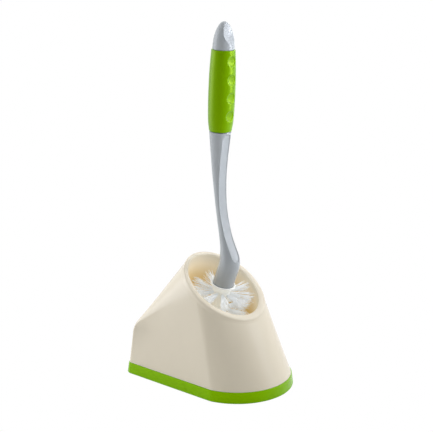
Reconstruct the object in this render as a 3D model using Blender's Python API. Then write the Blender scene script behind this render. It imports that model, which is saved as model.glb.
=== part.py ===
"""Toilet brush standing in its holder.

The holder is a cream shell on a green drip tray. The shell is a wedge with a
round front and a low back, and its slanted mouth runs on into a leaning inner
tube. The brush has an S-shaped handle with a soft grip, and a tufted head.

Axes: +Z is up, -Y is the holder's front, and X = 0 is its middle plane. The
origin is on the floor, below the middle of the holder's bounding box.
"""
import math

import bmesh
import bpy
import numpy as np
from mathutils import Matrix, Vector

MM = 0.001
GAP = 0.3 * MM

# Footprint of the drip tray
FRONT_RADIUS = 67.5 * MM
FRONT_CENTRE_Y = -26 * MM
SIDE_OFFSET = 66 * MM
SIDE_FLARE = math.radians(2.6)
CHEEK_RADIUS = 24 * MM
REAR_Y = 93.5 * MM
REAR_CORNER_RADIUS = 9 * MM

# Drip tray
TRAY_UNDERSIDE = 0.4 * MM
TRAY_TOP = 13.6 * MM
TRAY_FLOOR = 4.2 * MM
TRAY_EDGE = 1.5 * MM
TRAY_FLARE = 1.6 * MM
TRAY_SEAM_EDGE = 0.4 * MM
ROUND_SHARE = 1 - math.cos(math.radians(45))
LIP_TOP = 17.4 * MM
LIP_THICKNESS = 1.8 * MM
LIP_CLEARANCE = 1.2
DAM_TOP = 12 * MM
DAM_CLEARANCE = 0.8 * MM
DAM_WALL = 2 * MM
POST_RADIUS = 13 * MM
POST_DRAFT = 2 * MM
POST_RIM = 1.5 * MM
POST_SEAT_RADIUS = 5 * MM
FOOT_RADIUS = 7 * MM
FOOT_HEIGHT = 2.1 * MM
FOOT_EDGE = 0.6 * MM
DISC_SIDES = 24
FOOT_PLACES = [(38 * MM, -52 * MM), (50 * MM, 68 * MM)]

# Holder shell
SHELL_INSET = TRAY_FLARE + 1 * MM
SHELL_WALL = 2.5 * MM
SHELL_BASE = TRAY_TOP + GAP
SIDE_DRAFT = 0.178
FRONT_DRAFT = 0.6
REAR_DRAFT = 0.06
SHOULDER_Z = 60 * MM
SHOULDER_ROUND = 9 * MM

# Slanted mouth: a plane through (0, MOUTH_Y, MOUTH_Z) that rises to the back
MOUTH_SLOPE = 0.635
MOUTH_Y = -5.3 * MM
MOUTH_Z = 115 * MM
RIM_HALF_WIDTH = 50 * MM
RIM_HALF_DEPTH = 47.5 * MM
RIM_Y = -5.8 * MM
RIM_ROUND = 5.2 * MM
ROLL_END = 0.5 * MM
WEB_DEPTH_FRONT = 6 * MM
WEB_DEPTH_BACK = 22 * MM

# Lean of the inner tube and of the brush head: the top comes forward
LEAN = math.radians(15)
TUBE_HALF_WIDTH = 42 * MM
TUBE_HALF_DEPTH = 49 * MM
TUBE_Y = -3.8 * MM
TUBE_WALL = 2.2 * MM
TUBE_DRAFT = 1.5 * MM
TUBE_BASE = TRAY_FLOOR + 1 * MM

# Handle, in millimetres: height and y of its middle line, then height and radius
HANDLE_LINE = [
    (100, 1.2), (116, -3.1), (131, -8.9), (147, -14.4), (161, -12.3), (181, -7.2), (209, -1.7),
    (242, 1.6), (268, 2.1), (300, 0.9), (350, -1.7), (392, -3.7), (427, -5.3), (440, -5.9),
]
STEM_RADII = [
    (100, 12.4), (116, 12.4), (132, 12.3), (147, 12.1), (155, 11.1), (168, 8.6), (182, 7.4),
    (210, 6.9), (238, 7.7), (267, 9.6), (295, 12.2), (302, 12.9), (310, 13.4),
]
STEM_HEIGHTS = [120.1, 126, 133, 140, 146, 149.7, 152, 155, 160, 165, 172, 180, 190, 200, 212, 224,
                236, 248, 260, 272, 283, 290, 293, 296, 298.5, 301.7]
STEM_END = 119.4 * MM
STEM_SEAT_RADIUS = 11.9 * MM
CORE_HEIGHTS = [301.7, 308, 315, 330, 350, 372, 391]
CORE_TOP = 391 * MM
GRIP_BOTTOM = 302 * MM
GRIP_TOP = 395.5 * MM
GRIP_RADII = [
    (295, 12.2), (302, 13.0), (312, 14.4), (330, 15.2), (350, 15.4), (372, 15.0), (395.5, 13.7),
    (402, 13.2),
]
GRIP_WALL = 3.2 * MM
GRIP_EDGE = 0.8 * MM
DIMPLE_HEIGHTS = [321 * MM, 341.8 * MM, 362.6 * MM, 383.4 * MM]
DIMPLE_RADIUS = 6.5 * MM
DIMPLE_DEPTH = 1.7 * MM
DIMPLE_WIDENING = 1.35
CHANNEL_HALF_WIDTH = 6.3 * MM
CHANNEL_BOTTOM = 149 * MM
CHANNEL_TOP = 299 * MM
CHANNEL_DEPTH = 1.6 * MM
CHANNEL_END_SHARE = 1.0
CHANNEL_MARGIN = 0.94
CHANNEL_SIDES = 8
PLAIN_SIDES = 16
CAP_RADII = [
    (390, 13.3), (395.8, 12.7), (405, 11.95), (412, 10.7), (418.7, 8.3), (423, 5.8), (426, 2.9),
    (427, 0.0),
]
CAP_HEIGHTS = [395.8, 401, 406, 411, 415, 418.7, 421.5, 423.7, 425.4, 426.5]
CAP_TOP = 427 * MM
CAP_SCOOP_RADIUS = 34 * MM
CAP_SCOOP_Z = 413.4 * MM
CAP_SCOOP_FORWARD = 6 * MM
CAP_SCOOP_TILT = math.radians(19)
PLUG_RADIUS = 5 * MM
PLUG_LENGTH = 14 * MM

# Brush head, measured along its own axis from the rim of its collar
COLLAR_DEPTH = 3 * MM
COLLAR_BORE = 13 * MM
COLLAR_PROFILE = [(0.3, 13.0), (0, 13.4), (0, 14.6), (1, 15.1), (3.5, 14.6), (7, 12.6)]
HUB_TOP = 9.5 * MM
HUB_TIP_PROFILE = [(9, 10.5), (4, 8.6), (1, 4.6)]
HUB_RADIUS = 10.5 * MM
HUB_LENGTH = 109.5 * MM
SPIGOT_RADIUS = 5.2 * MM
SPIGOT_LENGTH = 11 * MM
TUFT_COLUMNS = 9
TUFT_FIRST = 12.6 * MM
TUFT_PITCH = 18.7 * MM
TUFT_REACHES = [39.5 * MM, 39.5 * MM, 39 * MM, 36.5 * MM, 31 * MM]
TUFT_START = math.radians(1)
TUFT_SIDES = 6
TUFT_HOLE_RADIUS = 2.1 * MM
TUFT_HOLE_BOTTOM = 8 * MM
TUFT_TIP_RADIUS = 5.2 * MM
TUFT_TIP_EDGE = 1.2 * MM


def clear_scene():
    for thing in list(bpy.data.objects):
        bpy.data.objects.remove(thing, do_unlink=True)


def plastic(name, colour, roughness):
    """A Principled material for one moulded plastic."""
    material = bpy.data.materials.new(name)
    material.use_nodes = True
    shader = material.node_tree.nodes["Principled BSDF"]
    shader.inputs["Base Color"].default_value = (*colour, 1)
    shader.inputs["Roughness"].default_value = roughness
    shader.inputs["Metallic"].default_value = 0
    material.diffuse_color = (*colour, 1)
    return material


def add_object(name, mesh, material, parent=None):
    thing = bpy.data.objects.new(name, mesh)
    bpy.context.collection.objects.link(thing)
    mesh.materials.append(material)
    if parent:
        thing.parent = parent
        thing.matrix_parent_inverse = parent.matrix_world.inverted()
    return thing


def finish_mesh(name, bm, sharp_angle=35):
    bmesh.ops.recalc_face_normals(bm, faces=bm.faces)
    mesh = bpy.data.meshes.new(name)
    bm.to_mesh(mesh)
    bm.free()
    mesh.shade_smooth()
    mesh.set_sharp_from_angle(angle=math.radians(sharp_angle))
    return mesh


def loft(name, rings, start=None, end=None, closed=False, sharp_angle=35):
    """Skin a list of rings with equal point counts.

    start and end are the points that close the first and the last ring with a
    fan. closed joins the last ring to the first instead, as on a torus.
    """
    bm = bmesh.new()
    rows = [[bm.verts.new(point) for point in ring] for ring in rings]
    pairs = list(zip(rows, rows[1:]))
    if closed:
        pairs.append((rows[-1], rows[0]))
    for low, high in pairs:
        for i in range(len(low)):
            j = (i + 1) % len(low)
            bm.faces.new((low[i], low[j], high[j], high[i]))
    for pole, row in ((start, rows[0]), (end, rows[-1])):
        if pole is not None:
            tip = bm.verts.new(pole)
            for i in range(len(row)):
                bm.faces.new((row[i], row[(i + 1) % len(row)], tip))
    return finish_mesh(name, bm, sharp_angle)


def curve_through(points, height):
    """Catmull-Rom value at a height, through (height, value) points in millimetres."""
    z = height / MM
    heights = [p[0] for p in points]
    k = min(max(np.searchsorted(heights, z) - 1, 0), len(points) - 2)
    z0, v0 = points[k]
    z1, v1 = points[k + 1]
    before = points[k - 1] if k > 0 else (2 * z0 - z1, 2 * v0 - v1)
    after = points[k + 2] if k + 2 < len(points) else (2 * z1 - z0, 2 * v1 - v0)
    slope0 = (v1 - before[1]) / (z1 - before[0])
    slope1 = (after[1] - v0) / (after[0] - z0)
    span = z1 - z0
    t = (z - z0) / span
    value = (
        (2 * t ** 3 - 3 * t ** 2 + 1) * v0 + (t ** 3 - 2 * t ** 2 + t) * span * slope0
        + (3 * t ** 2 - 2 * t ** 3) * v1 + (t ** 3 - t ** 2) * span * slope1
    )
    return value * MM


def circle(place, forward, radius, sides, first=0):
    """A ring in the plane of X and forward; its first point is turned by first steps."""
    ring = []
    for i in range(sides):
        angle = 2 * math.pi * (i + first) / sides
        ring.append(place + forward * (radius * math.cos(angle)) + Vector((radius * math.sin(angle), 0, 0)))
    return ring


def centre(ring):
    return sum(ring, Vector()) / len(ring)


# ---------------------------------------------------------------- the holder

FRONT_STEPS = 14
SIDE_STEPS = 5
CORNER_STEPS = 7
BACK_STEPS = 3
RIM_SIDE = math.radians(88)
RIM_CORNER_START = math.radians(96)
RIM_CORNER_END = math.radians(160)


def footprint(inset, draft=0.0, rear_draft=0.0):
    """Half outline of the footprint, from mid front to mid back on the +X side.

    Each point moves inwards along its own normal by inset, and its straight
    side and back also by a draft.
    """
    side_normal = math.pi / 2 - SIDE_FLARE
    out = Vector((math.cos(SIDE_FLARE), -math.sin(SIDE_FLARE)))
    forward = Vector((-math.sin(SIDE_FLARE), -math.cos(SIDE_FLARE)))
    across = SIDE_OFFSET - CHEEK_RADIUS
    along = math.sqrt((FRONT_RADIUS - CHEEK_RADIUS) ** 2 - across ** 2)
    front = Vector((0, FRONT_CENTRE_Y))
    cheek = front + out * across + forward * along
    cheek_start = math.atan2(cheek.x, front.y - cheek.y)
    corner_y = REAR_Y - REAR_CORNER_RADIUS
    corner_x = SIDE_OFFSET - REAR_CORNER_RADIUS + math.sin(SIDE_FLARE) * (corner_y - front.y)
    corner = Vector((corner_x / math.cos(SIDE_FLARE), corner_y))

    points = []
    for i in range(FRONT_STEPS + 1):
        angle = side_normal * i / FRONT_STEPS
        normal = Vector((math.sin(angle), -math.cos(angle)))
        if angle <= cheek_start:
            points.append(front + normal * (FRONT_RADIUS - inset - draft))
        else:
            points.append(cheek + normal * (CHEEK_RADIUS - inset - draft))
    side_end = corner + out * (REAR_CORNER_RADIUS - inset - draft)
    for i in range(1, SIDE_STEPS + 1):
        points.append(points[FRONT_STEPS].lerp(side_end, i / (SIDE_STEPS + 1)))
    for i in range(CORNER_STEPS):
        angle = side_normal + (math.pi - side_normal) * i / (CORNER_STEPS - 1)
        turn = i / (CORNER_STEPS - 1)
        pull = draft * (1 - turn) + rear_draft * turn
        normal = Vector((math.sin(angle), -math.cos(angle)))
        shift = out * (-pull * (1 - turn)) + Vector((-draft * turn, -rear_draft * turn))
        points.append(corner + normal * (REAR_CORNER_RADIUS - inset) + shift)
    for i in range(1, BACK_STEPS + 1):
        points.append(points[FRONT_STEPS + SIDE_STEPS + CORNER_STEPS].lerp(
            Vector((0, points[-1].y)), i / BACK_STEPS))
    return points


def rim_angles():
    """The angle round the mouth that belongs to each point of footprint()."""
    angles = [RIM_SIDE * i / FRONT_STEPS for i in range(FRONT_STEPS + 1)]
    for i in range(1, SIDE_STEPS + 1):
        angles.append(RIM_SIDE + (RIM_CORNER_START - RIM_SIDE) * i / (SIDE_STEPS + 1))
    for i in range(CORNER_STEPS):
        angles.append(RIM_CORNER_START + (RIM_CORNER_END - RIM_CORNER_START) * i / (CORNER_STEPS - 1))
    for i in range(1, BACK_STEPS + 1):
        angles.append(RIM_CORNER_END + (math.pi - RIM_CORNER_END) * i / BACK_STEPS)
    return angles


def whole_ring(half):
    """A closed ring from its +X half, which starts and ends on the middle plane."""
    mirrored = [Vector((-p.x, p.y, p.z)) for p in reversed(half[1:-1])]
    return list(half) + mirrored


def at_height(outline, z):
    return [Vector((p.x, p.y, z)) for p in outline]


def mouth_height(y):
    return MOUTH_Z + MOUTH_SLOPE * (y - MOUTH_Y)


def rim_point(angle):
    """Where the outer skin meets the rolled rim."""
    y = RIM_Y - RIM_HALF_DEPTH * math.cos(angle)
    return Vector((RIM_HALF_WIDTH * math.sin(angle), y, mouth_height(y)))


def tube_point(angle, z, grow=0.0):
    """A point of the inner tube's bore; grow moves it outwards."""
    drop = (mouth_height(TUBE_Y) - z) / (mouth_height(TUBE_Y) - TUBE_BASE)
    width = TUBE_HALF_WIDTH + grow + TUBE_DRAFT * drop
    depth = TUBE_HALF_DEPTH + grow + TUBE_DRAFT * drop
    middle = TUBE_Y + math.tan(LEAN) * (mouth_height(TUBE_Y) - z)
    return Vector((width * math.sin(angle), middle - depth * math.cos(angle), z))


def tube_mouth(angle, below=0.0, grow=0.0):
    """Where the tube meets a plane parallel to the mouth, found by halving."""
    low, high = TUBE_BASE, 2 * MOUTH_Z
    for _ in range(40):
        z = (low + high) / 2
        if z < mouth_height(tube_point(angle, z, grow).y) - below:
            low = z
        else:
            high = z
    return tube_point(angle, low, grow)


def skin_profile(base, shoulder, rim, steps=3):
    """From the base up to the rim, rounded where the back turns into the roof."""
    up = (base - shoulder).normalized()
    on = (rim - shoulder).normalized()
    before = shoulder + up * SHOULDER_ROUND
    after = shoulder + on * SHOULDER_ROUND
    points = [base]
    for i in range(steps + 1):
        t = i / steps
        points.append(before * (1 - t) ** 2 + shoulder * 2 * t * (1 - t) + after * t ** 2)
    points.append(after.lerp(rim, 0.5))
    points.append(rim)
    return points


def outer_skin():
    """The outer skin as half columns of points, one for each footprint point."""
    base = at_height(footprint(SHELL_INSET), SHELL_BASE)
    rise = SHOULDER_Z - SHELL_BASE
    raised = at_height(footprint(SHELL_INSET, SIDE_DRAFT * rise, REAR_DRAFT * rise), SHOULDER_Z)
    columns = []
    for i, angle in enumerate(rim_angles()):
        rim = rim_point(angle)
        if i <= FRONT_STEPS + SIDE_STEPS:
            shoulder = base[i].lerp(rim, rise / (rim.z - SHELL_BASE))
        else:
            shoulder = raised[i]
        columns.append(skin_profile(base[i], shoulder, rim))
    return columns


def all_round(angles):
    """The angles of a whole ring from those of its +X half."""
    return angles + [2 * math.pi - a for a in reversed(angles[1:-1])]


def inward_normals(rings):
    """Unit normals of a lofted skin that point into the body."""
    grid = np.array([[list(p) for p in ring] for ring in rings])
    around = np.roll(grid, -1, axis=1) - np.roll(grid, 1, axis=1)
    along = np.gradient(grid, axis=0)
    normal = np.cross(along, around)
    normal /= np.linalg.norm(normal, axis=2, keepdims=True)
    return normal


def rim_roll(skin_end, skin_before, angle, steps=6):
    """The rolled rim: a smooth arch from the outer skin to the top of the tube."""
    inner = tube_mouth(angle, ROLL_END)
    lower = tube_mouth(angle, ROLL_END + RIM_ROUND)
    rise_out = (skin_end - skin_before).normalized() * RIM_ROUND
    rise_in = (inner - lower).normalized() * RIM_ROUND
    points = []
    for i in range(1, steps + 1):
        t = i / steps
        points.append(
            skin_end * (1 - t) ** 3 + (skin_end + rise_out) * 3 * t * (1 - t) ** 2
            + (inner + rise_in) * 3 * t ** 2 * (1 - t) + inner * t ** 3
        )
    return points


def holder_shell(material):
    """Outer skin, rolled rim and inner tube, moulded in one piece and open below."""
    columns = outer_skin()
    angles = rim_angles()
    outer = [whole_ring([column[k] for column in columns]) for k in range(len(columns[0]))]
    rolls = [rim_roll(c[-1], c[-2], a) for c, a in zip(columns, angles)]
    roll = [whole_ring([r[k] for r in rolls]) for k in range(len(rolls[0]))]
    tops = [tube_mouth(a, ROLL_END) for a in angles]
    bore = []
    for share in (0.25, 0.6, 1.0):
        bore.append(whole_ring([
            tube_point(a, top.z + (TUBE_BASE - top.z) * share) for a, top in zip(angles, tops)]))

    normals = inward_normals(outer)
    count = len(outer[0])
    inner = []
    for k, ring in enumerate(outer[:-1]):
        inner.append([ring[i] + Vector(normals[k][i]) * SHELL_WALL for i in range(count)])
    for point in inner[0]:
        point.z = SHELL_BASE
    # The web under the rim lies deeper at the back, where skin and tube run close together
    every_angle = all_round(angles)
    web_skin, web_tube = [], []
    for i, angle in enumerate(every_angle):
        towards_back = ((1 - math.cos(angle)) / 2) ** 2
        depth = WEB_DEPTH_FRONT + (WEB_DEPTH_BACK - WEB_DEPTH_FRONT) * towards_back
        top = outer[-1][i] + Vector(normals[-1][i]) * SHELL_WALL
        low = inner[-1][i]
        web_skin.append(top.lerp(low, min(depth / (top.z - low.z), 0.9)))
        web_tube.append(tube_point(angle, web_skin[-1].z, TUBE_WALL))
    tube_outside = []
    for share in (0.4, 1.0):
        tube_outside.append([
            tube_point(a, web.z + (TUBE_BASE - web.z) * share, TUBE_WALL)
            for a, web in zip(every_angle, web_tube)])

    rings = outer + roll + bore + tube_outside[::-1] + [web_tube, web_skin] + inner[::-1]
    mesh = loft("holder_shell", rings, closed=True, sharp_angle=50)
    return add_object("holder_shell", mesh, material)


def disc_cutter(name, radius, low, high, place):
    bm = bmesh.new()
    bmesh.ops.create_cone(
        bm, cap_ends=True, segments=DISC_SIDES, radius1=radius, radius2=radius, depth=high - low)
    bmesh.ops.translate(bm, verts=bm.verts, vec=(place[0], place[1], (low + high) / 2))
    mesh = bpy.data.meshes.new(name)
    bm.to_mesh(mesh)
    bm.free()
    cutter = bpy.data.objects.new(name, mesh)
    bpy.context.collection.objects.link(cutter)
    return cutter


def subtract(thing, cutters):
    """Cut the cutters out of an object, apply the cuts and remove the cutters."""
    for cutter in cutters:
        modifier = thing.modifiers.new(cutter.name, "BOOLEAN")
        modifier.object = cutter
        modifier.operation = "DIFFERENCE"
        modifier.solver = "EXACT"
    depsgraph = bpy.context.evaluated_depsgraph_get()
    mesh = bpy.data.meshes.new_from_object(thing.evaluated_get(depsgraph))
    thing.modifiers.clear()
    thing.data = mesh
    for cutter in cutters:
        bpy.data.objects.remove(cutter, do_unlink=True)


def head_point(along, radius=0.0, angle=0.0):
    """A point of the brush head: along its axis, out from it, and round from the front."""
    axis = Vector((0, math.sin(LEAN), -math.cos(LEAN)))
    front = Vector((0, -math.cos(LEAN), -math.sin(LEAN)))
    side = Vector((1, 0, 0))
    start = Vector((0, curve_through(HANDLE_LINE, STEM_END), STEM_END))
    return start + axis * along + (front * math.cos(angle) + side * math.sin(angle)) * radius


def base_tray(material):
    """Drip tray: floor, proud outer band, locating lip, dam for the tube, and post."""
    every_angle = all_round(rim_angles())
    lip_inset = SHELL_INSET + SHELL_WALL * LIP_CLEARANCE + GAP
    lip_top_inset = lip_inset + FRONT_DRAFT * (LIP_TOP - TRAY_TOP)
    tip = head_point(HUB_LENGTH)

    def band(inset, z):
        return whole_ring(at_height(footprint(inset), z))

    def dam(grow, z):
        return [tube_point(a, z, grow) for a in every_angle]

    def post(radius, z):
        return [
            Vector((radius * math.sin(a), tip.y - radius * math.cos(a), z)) for a in every_angle]

    rings = [
        band(TRAY_EDGE, TRAY_UNDERSIDE),
        band(TRAY_EDGE * ROUND_SHARE, TRAY_UNDERSIDE + TRAY_EDGE * ROUND_SHARE),
        band(0, TRAY_UNDERSIDE + TRAY_EDGE),
        band(TRAY_FLARE, TRAY_TOP - TRAY_SEAM_EDGE),
        band(TRAY_FLARE + TRAY_SEAM_EDGE, TRAY_TOP),
        band(lip_inset, TRAY_TOP),
        band(lip_top_inset, LIP_TOP),
        band(lip_top_inset + LIP_THICKNESS, LIP_TOP),
        band(lip_top_inset + LIP_THICKNESS, TRAY_FLOOR),
        dam(-DAM_CLEARANCE, TRAY_FLOOR),
        dam(-DAM_CLEARANCE, DAM_TOP),
        dam(-DAM_CLEARANCE - DAM_WALL, DAM_TOP),
        dam(-DAM_CLEARANCE - DAM_WALL, TRAY_FLOOR),
        post(POST_RADIUS, TRAY_FLOOR),
        post(POST_RADIUS - POST_DRAFT, tip.z + POST_RIM),
        post(POST_RADIUS - 2 * POST_DRAFT, tip.z + POST_RIM),
        post(POST_SEAT_RADIUS, tip.z - GAP),
    ]
    mesh = loft(
        "base_tray", rings, start=(0, 0, TRAY_UNDERSIDE),
        end=(0, tip.y, tip.z - 2 * GAP), sharp_angle=40)
    tray = add_object("base_tray", mesh, material)
    cutters = []
    for x, y in FOOT_PLACES:
        for side in (-1, 1):
            cutters.append(disc_cutter(
                "foot_recess", FOOT_RADIUS + GAP, -TRAY_FLOOR, FOOT_HEIGHT + GAP, (side * x, y)))
    subtract(tray, cutters)
    tray.data.set_sharp_from_angle(angle=math.radians(40))
    return tray


def anti_slip_feet(material):
    """Four soft discs pressed into the tray's underside."""
    names = {(1, 0): "foot_front_right", (-1, 0): "foot_front_left",
             (1, 1): "foot_rear_right", (-1, 1): "foot_rear_left"}
    profile = [(FOOT_RADIUS - FOOT_EDGE, 0), (FOOT_RADIUS, FOOT_EDGE), (FOOT_RADIUS, FOOT_HEIGHT)]
    for (side, row), name in names.items():
        x, y = FOOT_PLACES[row]
        rings = [
            circle(Vector((side * x, y, z)), Vector((0, -1, 0)), radius, DISC_SIDES)
            for radius, z in profile]
        mesh = loft(name, rings, start=centre(rings[0]), end=centre(rings[-1]))
        add_object(name, mesh, material)


# ---------------------------------------------------------------- the brush

def line_frame(z):
    """Place, forward direction and upward tangent of the handle's middle line."""
    step = 0.5 * MM
    y = curve_through(HANDLE_LINE, z)
    rise = curve_through(HANDLE_LINE, z + step) - curve_through(HANDLE_LINE, z - step)
    tangent = Vector((0, rise, 2 * step)).normalized()
    return Vector((0, y, z)), Vector((0, -tangent.z, tangent.y)), tangent


def handle_ring(z, radius, sides=24, first=0):
    """A ring across the handle; the default has as many points as the stem's rings."""
    place, forward, _ = line_frame(z)
    return circle(place, forward, radius, sides, first)


def channel_half_width(z):
    """Half width of the thumb channel at a height; both of its ends are round."""
    end = CHANNEL_HALF_WIDTH * CHANNEL_END_SHARE
    top = 1 - min(max((z - (CHANNEL_TOP - end)) / end, 0), 1) ** 2
    bottom = 1 - min(max(((CHANNEL_BOTTOM + end) - z) / end, 0), 1) ** 2
    return CHANNEL_HALF_WIDTH * math.sqrt(max(min(top, bottom), 0))


def stem_ring(z, radius):
    """A ring of the stem with the scooped channel in its front."""
    place, forward, _ = line_frame(z)
    half = channel_half_width(z)
    lip_x = min(half, radius * CHANNEL_MARGIN)
    edge = max(math.asin(lip_x / radius), math.radians(14))
    rest = 2 * (math.pi - edge)
    angles = [edge * (2 * i / CHANNEL_SIDES - 1) for i in range(CHANNEL_SIDES + 1)]
    angles += [edge + rest * i / PLAIN_SIDES for i in range(1, PLAIN_SIDES)]
    ring = []
    for i, angle in enumerate(angles):
        x = radius * math.sin(angle)
        y = radius * math.cos(angle)
        if i <= CHANNEL_SIDES and half > 0 and abs(x) < half:
            lip = math.sqrt(radius ** 2 - lip_x ** 2)
            scoop = CHANNEL_DEPTH * half / CHANNEL_HALF_WIDTH * (1 - (x / half) ** 2)
            y = min(y, lip - scoop)
        ring.append(place + forward * y + Vector((x, 0, 0)))
    return ring


def socket_ring(z, radius, sides, first=0):
    """A ring round the axis of the cap's plug, which is straight below the core's top."""
    place, forward, tangent = line_frame(CORE_TOP)
    return circle(place + tangent * (z - CORE_TOP), forward, radius, sides, first)


def handle_stem(material, parent):
    """S-shaped stem with its spigot below and its core through the grip."""
    sides = CHANNEL_SIDES + PLAIN_SIDES
    first = -CHANNEL_SIDES / 2

    def head_ring(along, radius):
        return [head_point(along, radius, 2 * math.pi * (i + first) / sides) for i in range(sides)]

    def core(z):
        radius = curve_through(GRIP_RADII, z) - GRIP_WALL - 2 * GAP
        return handle_ring(z, radius, sides, first)

    rings = [
        head_ring(COLLAR_DEPTH + SPIGOT_LENGTH, SPIGOT_RADIUS),
        head_ring(COLLAR_DEPTH - GAP, SPIGOT_RADIUS),
        head_ring(COLLAR_DEPTH - GAP, STEM_SEAT_RADIUS),
    ]
    rings += [stem_ring(z * MM, curve_through(STEM_RADII, z * MM)) for z in STEM_HEIGHTS]
    rings += [core(z * MM) for z in CORE_HEIGHTS]
    rings.append(socket_ring(CORE_TOP, PLUG_RADIUS + GAP, sides, first))
    rings.append(socket_ring(CORE_TOP - PLUG_LENGTH - GAP, PLUG_RADIUS + GAP, sides, first))
    mesh = loft(
        "handle_stem", rings, start=head_point(COLLAR_DEPTH + SPIGOT_LENGTH),
        end=centre(rings[-1]), sharp_angle=30)
    return add_object("handle_stem", mesh, material, parent)


def ball_cutter(name, radius, subdivisions, widening, turn):
    """A sphere, wider across X by a factor, turned and placed by a matrix."""
    bm = bmesh.new()
    bmesh.ops.create_icosphere(bm, subdivisions=subdivisions, radius=radius)
    bmesh.ops.scale(bm, verts=bm.verts, vec=(widening, 1, 1))
    bmesh.ops.transform(bm, verts=bm.verts, matrix=turn)
    mesh = bpy.data.meshes.new(name)
    bm.to_mesh(mesh)
    bm.free()
    cutter = bpy.data.objects.new(name, mesh)
    bpy.context.collection.objects.link(cutter)
    return cutter


def dimple_cutter(z):
    """A lens that presses one thumb dimple into the front of the grip."""
    place, forward, tangent = line_frame(z)
    radius = (DIMPLE_RADIUS ** 2 + DIMPLE_DEPTH ** 2) / (2 * DIMPLE_DEPTH)
    turn = Matrix((Vector((1, 0, 0)), -forward, tangent)).transposed().to_4x4()
    middle = place + forward * (curve_through(GRIP_RADII, z) + radius - DIMPLE_DEPTH)
    return ball_cutter("dimple", radius, 3, DIMPLE_WIDENING, Matrix.Translation(middle) @ turn)


def grip_sleeve(material, parent):
    """Soft sleeve over the core, with four thumb dimples down its front."""
    sides = 32

    def skin(z, inset=0.0):
        return handle_ring(z, curve_through(GRIP_RADII, z) - inset, sides)

    heights = list(np.linspace(GRIP_BOTTOM + GRIP_EDGE, GRIP_TOP - GRIP_EDGE, 13))
    rings = [skin(GRIP_BOTTOM, GRIP_EDGE)] + [skin(z) for z in heights] + [skin(GRIP_TOP, GRIP_EDGE)]
    rings += [skin(z, GRIP_WALL) for z in np.linspace(GRIP_TOP, GRIP_BOTTOM, 6)]
    mesh = loft("grip_sleeve", rings, closed=True, sharp_angle=50)
    grip = add_object("grip_sleeve", mesh, material, parent)
    subtract(grip, [dimple_cutter(z) for z in DIMPLE_HEIGHTS])
    grip.data.set_sharp_from_angle(angle=math.radians(30))
    return grip


def end_cap(material, parent):
    """Bullet-shaped cap with a plug below and one scooped facet in front."""
    sides = 32
    neck = curve_through(GRIP_RADII, GRIP_TOP) - GRIP_WALL - GAP
    rings = [
        socket_ring(CORE_TOP - PLUG_LENGTH, PLUG_RADIUS, sides),
        socket_ring(CORE_TOP + GAP, PLUG_RADIUS, sides),
        handle_ring(CORE_TOP + GAP, neck, sides),
        handle_ring(GRIP_TOP + GAP, neck, sides),
    ]
    rings += [handle_ring(z * MM, curve_through(CAP_RADII, z * MM), sides) for z in CAP_HEIGHTS]
    top, _, _ = line_frame(CAP_TOP)
    mesh = loft("end_cap", rings, start=centre(rings[0]), end=top, sharp_angle=40)
    cap = add_object("end_cap", mesh, material, parent)

    place, forward, tangent = line_frame(CAP_SCOOP_Z)
    facing = forward * math.cos(CAP_SCOOP_TILT) + tangent * math.sin(CAP_SCOOP_TILT)
    middle = place + forward * CAP_SCOOP_FORWARD + facing * CAP_SCOOP_RADIUS
    subtract(cap, [ball_cutter("scoop", CAP_SCOOP_RADIUS, 5, 1, Matrix.Translation(middle))])
    cap.data.set_sharp_from_angle(angle=math.radians(30))
    return cap


def tuft_angle(row, column):
    """Rows are staggered by half a pitch."""
    return TUFT_START + 2 * math.pi * (column + 0.5 * (row % 2)) / TUFT_COLUMNS


def tuft_ring(row, column, distance, radius):
    """A ring round one tuft's own axis, at a distance from the head's axis."""
    along = TUFT_FIRST + TUFT_PITCH * row
    angle = tuft_angle(row, column)
    middle = head_point(along, distance, angle)
    out = (middle - head_point(along)).normalized()
    down = (head_point(1) - head_point(0)).normalized()
    side = out.cross(down)
    ring = []
    for i in range(TUFT_SIDES):
        turn = 2 * math.pi * i / TUFT_SIDES
        ring.append(middle + side * (radius * math.cos(turn)) + down * (radius * math.sin(turn)))
    return ring


def tuft_hole(row, column):
    ends = (TUFT_HOLE_BOTTOM, HUB_RADIUS + TUFT_HOLE_RADIUS)
    rings = [tuft_ring(row, column, distance, TUFT_HOLE_RADIUS) for distance in ends]
    mesh = loft("hole", rings, start=centre(rings[0]), end=centre(rings[-1]))
    cutter = bpy.data.objects.new("hole", mesh)
    bpy.context.collection.objects.link(cutter)
    return cutter


def brush_hub(material, parent):
    """White core with a flared collar, a socket for the stem and holes for the tufts."""
    sides = 2 * TUFT_COLUMNS
    socket_end = COLLAR_DEPTH + SPIGOT_LENGTH + GAP
    profile = [
        (socket_end, SPIGOT_RADIUS + GAP), (COLLAR_DEPTH, SPIGOT_RADIUS + GAP), (COLLAR_DEPTH, COLLAR_BORE)]
    profile += [(along * MM, radius * MM) for along, radius in COLLAR_PROFILE]
    profile += [(along, HUB_RADIUS) for along in np.linspace(HUB_TOP, HUB_LENGTH / 2, 3)]
    profile += [(HUB_LENGTH - rise * MM, radius * MM) for rise, radius in HUB_TIP_PROFILE]
    rings = [
        [head_point(along, radius, 2 * math.pi * (i + 0.5) / sides) for i in range(sides)]
        for along, radius in profile]
    mesh = loft(
        "brush_hub", rings, start=head_point(socket_end), end=head_point(HUB_LENGTH), sharp_angle=40)
    hub = add_object("brush_hub", mesh, material, parent)
    subtract(hub, [
        tuft_hole(row, column) for row in range(len(TUFT_REACHES)) for column in range(TUFT_COLUMNS)])
    hub.data.set_sharp_from_angle(angle=math.radians(40))
    return hub


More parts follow.
